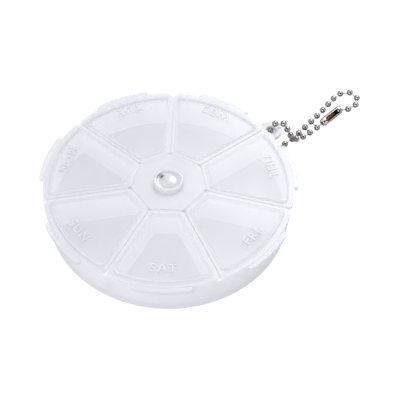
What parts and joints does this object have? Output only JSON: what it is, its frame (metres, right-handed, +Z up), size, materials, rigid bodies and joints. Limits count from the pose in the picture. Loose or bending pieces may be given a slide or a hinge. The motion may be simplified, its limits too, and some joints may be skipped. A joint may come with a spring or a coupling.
{
  "type": "travel pill organizer",
  "caption": "Round translucent pill case with radial compartments, a film-hinged lid over each, a centre hub and a ball chain through a lug on the rim.",
  "frame": {"origin": "middle of the tray's underside, on the hub axis, where the case stands", "axes": "+Z up along the hub axis, -Y through the middle of the Saturday lid, +X to its right seen from the front"},
  "size_m": [0.1218, 0.1109, 0.0174],
  "materials": {
    "tray_plastic": "milky translucent polypropylene, satin inside and smooth outside",
    "lid_plastic": "milky translucent polypropylene, faintly frosted",
    "plug_plastic": "clear glossy plastic",
    "bead_metal": "bright nickel plate",
    "pin_metal": "bright nickel plate",
    "coupling_metal": "bright nickel plate over brass, brassy inside"
  },
  "bodies": {
    "case": {"base_tray": "tray_plastic", "hub_plate": "lid_plastic", "centre_plug": "plug_plastic", "hinge_sunday": "lid_plastic", "hinge_monday": "lid_plastic", "hinge_tuesday": "lid_plastic", "hinge_wednesday": "lid_plastic", "hinge_thursday": "lid_plastic", "hinge_friday": "lid_plastic", "hinge_saturday": "lid_plastic"},
    "sunday_lid": {"lid_sunday": "lid_plastic"},
    "monday_lid": {"lid_monday": "lid_plastic"},
    "tuesday_lid": {"lid_tuesday": "lid_plastic"},
    "wednesday_lid": {"lid_wednesday": "lid_plastic"},
    "thursday_lid": {"lid_thursday": "lid_plastic"},
    "friday_lid": {"lid_friday": "lid_plastic"},
    "saturday_lid": {"lid_saturday": "lid_plastic"},
    "chain": {"chain_beads": "bead_metal", "chain_pins": "pin_metal", "chain_coupling": "coupling_metal"}
  },
  "joints": [
    {"name": "sunday_lid_hinge", "type": "hinge", "parent": "case", "child": "sunday_lid", "pos_m": [-0.00986, -0.00786, 0.01545], "axis": [0.6235, -0.7818, 0], "range_deg": [-80, 0], "deforming": ["hinge_sunday"]},
    {"name": "monday_lid_hinge", "type": "hinge", "parent": "case", "child": "monday_lid", "pos_m": [-0.0123, 0.00281, 0.01545], "axis": [0.2225, 0.9749, 0], "range_deg": [0, 80], "deforming": ["hinge_monday"]},
    {"name": "tuesday_lid_hinge", "type": "hinge", "parent": "case", "child": "tuesday_lid", "pos_m": [-0.00547, 0.01136, 0.01545], "axis": [-0.901, -0.4339, 0], "range_deg": [-45, 0], "deforming": ["hinge_tuesday"]},
    {"name": "wednesday_lid_hinge", "type": "hinge", "parent": "case", "child": "wednesday_lid", "pos_m": [0.00547, 0.01136, 0.01545], "axis": [-0.901, 0.4339, 0], "range_deg": [-80, 0], "deforming": ["hinge_wednesday"]},
    {"name": "thursday_lid_hinge", "type": "hinge", "parent": "case", "child": "thursday_lid", "pos_m": [0.0123, 0.00281, 0.01545], "axis": [0.2225, -0.9749, 0], "range_deg": [0, 80], "deforming": ["hinge_thursday"]},
    {"name": "friday_lid_hinge", "type": "hinge", "parent": "case", "child": "friday_lid", "pos_m": [0.00986, -0.00786, 0.01545], "axis": [0.6235, 0.7818, 0], "range_deg": [-80, 0], "deforming": ["hinge_friday"]},
    {"name": "saturday_lid_hinge", "type": "hinge", "parent": "case", "child": "saturday_lid", "pos_m": [0, -0.01261, 0.01545], "axis": [-1, 0, 0], "range_deg": [0, 80], "deforming": ["hinge_saturday"]},
    {"name": "chain_swing", "type": "hinge", "parent": "case", "child": "chain", "pos_m": [0.03737, 0.0298, 0.0123], "axis": [0, 0, 1], "range_deg": [-60, 60]}
  ]
}
